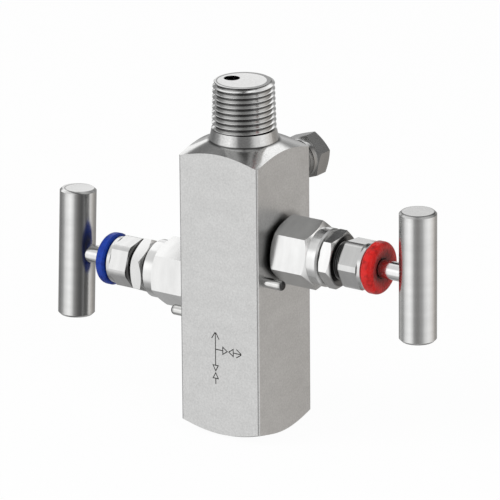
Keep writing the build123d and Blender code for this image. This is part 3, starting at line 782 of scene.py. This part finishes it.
# %% Camera
azimuth, elevation, roll = radians(34.33), radians(18.66), radians(0.49)
right = Vector((cos(azimuth), sin(azimuth), 0))
back = Vector((sin(azimuth) * cos(elevation), -cos(azimuth) * cos(elevation),
               sin(elevation)))
up = back.cross(right)
aim_height = 60 * mm
aim_right, aim_up = 1.64 * mm, 2.40 * mm
camera_distance = 2.0
aim = Vector((0, 0, aim_height)) + right * aim_right + up * aim_up
camera = bpy.data.objects.new("camera", bpy.data.cameras.new("camera"))
bpy.context.scene.collection.objects.link(camera)
camera.data.lens = 426.8
camera.data.sensor_width = 36
camera.data.clip_end = 10
side_axis = right * cos(roll) - up * sin(roll)
up_axis = right * sin(roll) + up * cos(roll)
for column, direction in enumerate((side_axis, up_axis, back)):
    for row in range(3):
        camera.matrix_world[row][column] = direction[row]
camera.matrix_world.translation = aim + back * camera_distance
bpy.context.scene.camera = camera
bpy.context.scene.view_settings.view_transform = "Standard"
print("camera at", [round(value, 3) for value in camera.matrix_world.translation])

# %% [markdown]
# ## Floor, light and the tent that the metal mirrors
# Bright metal shows its surroundings more than its own colour, so it stands in a white tent with
# soft bright and dark panels. The tent here is a large ball that only reflections see. It has
# four bands of cloth, from the floor to the top. The lower ones are brightest left and right of
# the camera, and the top one is brightest behind the piece, on both sides. Plain soft lamps and
# an even sky light the coloured pieces.

# %% Floor
def seen_directly(tree):
    """One for camera, glossy and transmission rays, and zero for the rest."""
    rays = add_node(tree, "ShaderNodeLightPath", (-600, 300)).outputs
    seen = calculate(tree, "MAXIMUM", (-300, 300), rays["Is Camera Ray"],
                     rays["Is Glossy Ray"])
    return calculate(tree, "MAXIMUM", (-100, 300), seen, rays["Is Transmission Ray"])


floor = start_piece("floor", bpy.ops.mesh.primitive_circle_add, vertices=64, radius=3.0,
                    fill_type="NGON", location=(0, 0, -0.02 * mm))
floor_cloth, tree = new_material("white_floor_cloth")
tree.nodes.clear()
cloth = add_node(tree, "ShaderNodeBsdfDiffuse", (0, 0), Color=(0.85, 0.85, 0.85, 1))
glow = add_node(tree, "ShaderNodeEmission", (0, -200), Color=(1, 1, 1, 1))
share = calculate(tree, "MULTIPLY", (100, 300), seen_directly(tree), 0.96)
blend = add_node(tree, "ShaderNodeMixShader", (350, 0), share, cloth.outputs[0],
                 glow.outputs[0])
add_node(tree, "ShaderNodeOutputMaterial", (600, 0), Surface=blend.outputs[0])
dress(floor, floor_cloth)
floor.visible_glossy = False
print("floor ready")

# %% World: an even sky, white where it is seen
world = bpy.data.worlds.new("studio_sky")
bpy.context.scene.world = world
world.use_nodes = True
tree = world.node_tree
tree.nodes.clear()
level = remap(tree, (100, 300), seen_directly(tree), To_Min=0.55, To_Max=1.0)
sky = add_node(tree, "ShaderNodeBackground", (350, 0), Color=(1, 1, 1, 1), Strength=level)
add_node(tree, "ShaderNodeOutputWorld", (600, 0), Surface=sky.outputs[0])
print("world ready")

# %% One band of the tent
# A band is a ramp that runs once round the tent, from behind the piece, past its left, the
# camera and its right, and back again. Its stops are soft, because cloth has no hard edges.
def tent_band(tree, place, share, stops):
    """A colour ramp over the direction, from (angle, level, warmth) stops."""
    band = add_node(tree, "ShaderNodeValToRGB", place, Fac=share)
    band.color_ramp.interpolation = "EASE"
    elements = band.color_ramp.elements
    for number, (angle, level, warmth) in enumerate(stops):
        spot = (angle + 180) / 360
        stop = elements[number] if number < 2 else elements.new(spot)
        stop.position = spot
        shade = level / brightest
        stop.color = (shade * (1 + warmth), shade, shade * (1 - warmth), 1)
    return band.outputs["Color"]


def only_reflected(piece):
    """Hide a piece of the studio from all rays but glossy ones."""
    for kind in ("camera", "diffuse", "shadow", "transmission", "volume_scatter"):
        setattr(piece, "visible_" + kind, False)


brightest = 1.6
low_stops = ((-180, 0.36, 0), (-125, 0.26, 0), (-102, 0.44, 0), (-76, 1.12, 0),
             (-50, 1.42, 0), (-36, 1.12, 0), (-19, 0.36, 0), (0, 0.29, 0.02),
             (22, 0.44, 0), (48, 1.05, 0), (66, 1.25, 0), (86, 1.05, 0.02),
             (106, 0.66, 0.05), (124, 0.40, 0.05), (150, 0.42, 0.03), (180, 0.36, 0))
middle_stops = ((-180, 1.25, 0), (-171, 0.80, 0), (-162, 0.32, 0), (-130, 0.32, 0),
                (-104, 0.70, 0), (-80, 1.40, 0), (-50, 1.55, 0), (-32, 0.90, 0),
                (-14, 0.24, 0), (14, 0.24, 0), (40, 1.10, 0), (66, 1.45, 0),
                (90, 1.45, 0.02), (110, 0.60, 0.03), (128, 0.14, 0.03), (160, 0.35, 0),
                (172, 0.85, 0), (180, 1.25, 0))
high_stops = ((-180, 0.04, 0), (-165, 0.03, 0), (-157, 0.28, 0), (-140, 1.30, 0),
              (-115, 0.95, 0), (-70, 0.90, 0), (-30, 0.50, 0), (0, 0.30, 0),
              (40, 0.55, 0), (80, 0.65, 0), (112, 0.40, 0), (127, 0.12, 0),
              (138, 1.10, 0), (152, 1.60, 0), (163, 1.45, 0), (172, 0.40, 0),
              (180, 0.04, 0))
floor_stops = ((-180, 0.50, 0), (-150, 0.45, 0), (-110, 0.28, 0), (-90, 0.50, 0),
               (-40, 0.70, 0), (0, 0.35, 0), (60, 0.65, 0), (120, 0.35, 0.03),
               (180, 0.50, 0))

# %% Tent: four bands, from the floor to the top
tent_radius = 1.2
tent = start_piece("reflection_tent", bpy.ops.mesh.primitive_uv_sphere_add, segments=64,
                   ring_count=32, radius=tent_radius, location=(0, 0, aim_height))
bpy.ops.object.mode_set(mode="EDIT")
bpy.ops.mesh.select_all(action="SELECT")
bpy.ops.mesh.flip_normals()
bpy.ops.object.mode_set(mode="OBJECT")
only_reflected(tent)
tent_cloth, tree = new_material("tent_cloth")
tree.nodes.clear()
place = add_node(tree, "ShaderNodeTexCoord", (-900, 0)).outputs
turn = add_node(tree, "ShaderNodeMapping", (-700, 0), vector_type="TEXTURE",
                Vector=place["Object"], Location=(0, 0, aim_height),
                Rotation=(0, 0, azimuth - radians(90)))
split = add_node(tree, "ShaderNodeSeparateXYZ", (-500, 0), turn.outputs["Vector"]).outputs
around = calculate(tree, "ARCTAN2", (-300, 0), split["Y"], split["X"])
share = remap(tree, (-100, 0), around, From_Min=-pi, From_Max=pi)
bands = [tent_band(tree, (200, 300 - 250 * number), share, stops) for number, stops
         in enumerate((floor_stops, low_stops, middle_stops, high_stops))]
shown = bands[0]
for number, (start, end) in enumerate(((-42, -28), (-3, 13), (22, 36))):
    rise = remap(tree, (500, -600 - 200 * number), split["Z"],
                 interpolation_type="SMOOTHSTEP", From_Min=tent_radius * sin(radians(start)),
                 From_Max=tent_radius * sin(radians(end)))
    shown = mix(tree, (700 + 200 * number, 0), "RGBA", Factor=rise, A=shown,
                B=bands[number + 1])
glow = add_node(tree, "ShaderNodeEmission", (1300, 0), Color=shown, Strength=brightest)
add_node(tree, "ShaderNodeOutputMaterial", (1500, 0), Surface=glow.outputs[0])
dress(tent, tent_cloth)
tent_cloth.cycles.emission_sampling = "NONE"
print("tent bands:", len(bands))

# %% [markdown]
# A single bright card hangs above the left of the piece, as near as a hand would hold it. It
# lights the upper flats of the left valve and leaves those of the right valve in shade, which
# a far tent could not do. Its right edge is soft.

# %% Bright card above the left
card_low, card_high = Vector((-0.24, -0.01, 0.130)), Vector((-0.066, 0.10, 0.130))
card_middle = (card_low + card_high) / 2
soft_edge = 0.015
card = start_piece("bright_card", bpy.ops.mesh.primitive_plane_add, size=1,
                   location=card_middle)
bpy.ops.object.mode_set(mode="EDIT")
bpy.ops.mesh.select_all(action="SELECT")
bpy.ops.transform.resize(value=(card_high.x - card_low.x, card_high.y - card_low.y, 1),
                         center_override=card_middle)
bpy.ops.object.mode_set(mode="OBJECT")
only_reflected(card)
card_cloth, tree = new_material("bright_card_cloth")
tree.nodes.clear()
place = add_node(tree, "ShaderNodeTexCoord", (-700, 0)).outputs
split = add_node(tree, "ShaderNodeSeparateXYZ", (-500, 0), place["Object"]).outputs
fade = remap(tree, (-250, 0), split["X"], interpolation_type="SMOOTHSTEP",
             From_Min=card_high.x, From_Max=card_high.x - soft_edge)
clear = add_node(tree, "ShaderNodeBsdfTransparent", (0, -200))
glow = add_node(tree, "ShaderNodeEmission", (0, 0), Strength=1.45)
mixed = add_node(tree, "ShaderNodeMixShader", (350, 0), fade, clear.outputs[0],
                 glow.outputs[0])
add_node(tree, "ShaderNodeOutputMaterial", (600, 0), Surface=mixed.outputs[0])
dress(card, card_cloth)
card_cloth.cycles.emission_sampling = "NONE"
print("card:", [round(value, 3) for value in card.dimensions])

# %% Soft lamps
lamp_target = Vector((0, 0, 0.05))


def soft_lamp(name, place, size, power):
    """A round lamp that faces the target and isn't mirrored in the steel."""
    lamp = bpy.data.objects.new(name, bpy.data.lights.new(name, "AREA"))
    lamp.data.shape = "DISK"
    lamp.data.size = size
    lamp.data.energy = power
    lamp.location = place
    from_target = Vector(place) - lamp_target
    lamp.rotation_euler = from_target.to_track_quat("Z", "Y").to_euler()
    lamp.visible_glossy = False
    bpy.context.scene.collection.objects.link(lamp)
    return lamp


left_lamp = soft_lamp("left_lamp", (-0.9, -1.0, 1.1), 1.0, 14)
right_lamp = soft_lamp("right_lamp", (1.3, -0.6, 0.9), 0.9, 6)
print("lamps:", left_lamp.data.energy, right_lamp.data.energy)
